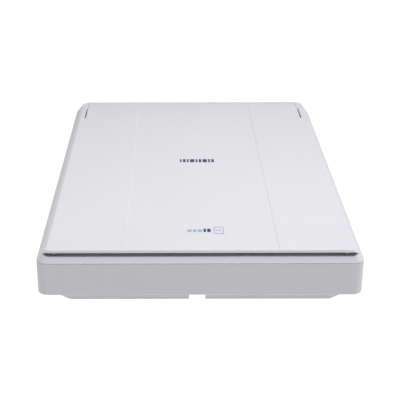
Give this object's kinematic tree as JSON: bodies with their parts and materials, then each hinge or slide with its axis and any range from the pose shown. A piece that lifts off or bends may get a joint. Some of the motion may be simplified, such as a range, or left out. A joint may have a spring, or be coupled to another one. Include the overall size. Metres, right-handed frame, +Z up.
{
  "type": "flatbed scanner",
  "caption": "Slim A4 flatbed scanner: lift-up hinged lid over a glass plate, belt-driven sensor carriage on a guide rod inside a two-part housing.",
  "frame": {"origin": "centre of the footprint on the surface the scanner stands on", "axes": "+X to the user's right, +Y from the front edge to the hinged rear edge, +Z up"},
  "size_m": [0.254, 0.372, 0.0428],
  "materials": {
    "case_plastic": "fine-textured light grey moulded plastic",
    "lid_plastic": "fine-textured off-white moulded plastic, soft sheen",
    "clear_glass": "polished float glass, faint green edge",
    "light_pipe": "clear polished acrylic light guide",
    "white_film": "bright white polyester film",
    "foam": "soft open-cell backing foam",
    "rubber": "soft grey elastomer",
    "belt_rubber": "black toothed belt rubber",
    "screw_steel": "zinc-plated screw steel",
    "ground_steel": "ground and polished steel",
    "black_plastic": "black glass-filled plastic",
    "circuit_board": "green solder mask on glass-epoxy board",
    "connector_plastic": "natural white connector plastic",
    "plated_steel": "zinc-plated sheet steel",
    "spring_steel": "drawn spring wire",
    "ribbon_film": "flat ribbon cable, white film over fine conductors",
    "gear_plastic": "natural acetal",
    "brass": "machined brass"
  },
  "bodies": {
    "base": {"lower_housing": "case_plastic", "upper_frame": "case_plastic", "scan_glass": "clear_glass", "calibration_strip": "white_film", "rubber_foot_1": "rubber", "rubber_foot_2": "rubber", "rubber_foot_3": "rubber", "rubber_foot_4": "rubber", "case_screw_1": "screw_steel", "case_screw_2": "screw_steel", "case_screw_3": "screw_steel", "case_screw_4": "screw_steel", "case_screw_5": "screw_steel", "case_screw_6": "screw_steel", "guide_rod": "ground_steel", "rod_clip_front": "black_plastic", "rod_clip_rear": "black_plastic", "main_board": "circuit_board", "board_screw_1": "screw_steel", "board_screw_2": "screw_steel", "cable_connector": "connector_plastic", "usb_socket": "plated_steel", "ribbon_cable": "ribbon_film", "timing_belt": "belt_rubber", "tensioner_bracket": "plated_steel", "tensioner_spring": "spring_steel", "drive_axle": "ground_steel", "reduction_pin": "ground_steel", "motor_bracket": "plated_steel", "motor_body": "plated_steel", "motor_screw_1": "screw_steel", "motor_screw_2": "screw_steel", "bracket_screw_1": "screw_steel", "bracket_screw_2": "screw_steel"},
    "hinge_slider": {"hinge_post_left": "lid_plastic", "hinge_post_right": "lid_plastic", "hinge_pin_left": "ground_steel", "hinge_pin_right": "ground_steel"},
    "lid": {"lid_cover": "lid_plastic", "lid_foam": "foam", "document_mat": "white_film", "lid_bumper_left": "rubber", "lid_bumper_right": "rubber"},
    "carriage": {"carriage_frame": "black_plastic", "sensor_spring_left": "spring_steel", "sensor_spring_right": "spring_steel"},
    "sensor_head": {"sensor_housing": "black_plastic", "sensor_cover_glass": "clear_glass", "lens_array": "black_plastic", "light_guide": "light_pipe", "sensor_board": "circuit_board", "sensor_pad_left": "connector_plastic", "sensor_pad_right": "connector_plastic"},
    "idler_pulley": {"idler_pulley": "gear_plastic"},
    "drive_pulley": {"drive_pulley": "gear_plastic"},
    "reduction_gear": {"reduction_gear": "gear_plastic"},
    "motor_rotor": {"motor_shaft": "ground_steel", "motor_pinion": "brass"}
  },
  "joints": [
    {"name": "hinge_lift", "type": "slide", "parent": "base", "child": "hinge_slider", "axis": [0, 0, 1], "range_m": [0, 0.012]},
    {"name": "lid_hinge", "type": "hinge", "parent": "hinge_slider", "child": "lid", "pos_m": [0, 0.1775, 0.0395], "axis": [-1, 0, 0], "range_deg": [0, 90]},
    {"name": "drive_spin", "type": "hinge", "parent": "base", "child": "drive_pulley", "pos_m": [-0.034, 0.162, 0.0095], "axis": [0, 0, 1], "range_deg": [0, 2626]},
    {"name": "carriage_slide", "type": "slide", "parent": "base", "child": "carriage", "axis": [0, 1, 0], "range_m": [0, 0.3025], "deforming": ["ribbon_cable"]},
    {"name": "sensor_float", "type": "slide", "parent": "carriage", "child": "sensor_head", "axis": [0, 0, 1], "range_m": [-0.0015, 0], "stiffness_N_per_m": 700, "springref_m": 0.003, "deforming": ["sensor_spring_left", "sensor_spring_right"]},
    {"name": "idler_spin", "type": "hinge", "parent": "base", "child": "idler_pulley", "pos_m": [-0.034, -0.173, 0.0095], "axis": [0, 0, 1], "range_deg": [0, 2627]},
    {"name": "reduction_spin", "type": "hinge", "parent": "base", "child": "reduction_gear", "pos_m": [-0.0503, 0.162, 0.017], "axis": [0, 0, 1], "range_deg": [-7504, 0]},
    {"name": "motor_spin", "type": "hinge", "parent": "base", "child": "motor_rotor", "pos_m": [-0.0648, 0.162, 0.0165], "axis": [0, 0, 1], "range_deg": [0, 28512]}
  ],
  "couplings": [
    {"joint": "carriage_slide", "follows": "drive_spin", "m_per_rad": 0.0066},
    {"joint": "idler_spin", "follows": "drive_spin", "ratio": 1},
    {"joint": "reduction_spin", "follows": "drive_spin", "ratio": -2.8571},
    {"joint": "motor_spin", "follows": "drive_spin", "ratio": 10.857}
  ]
}
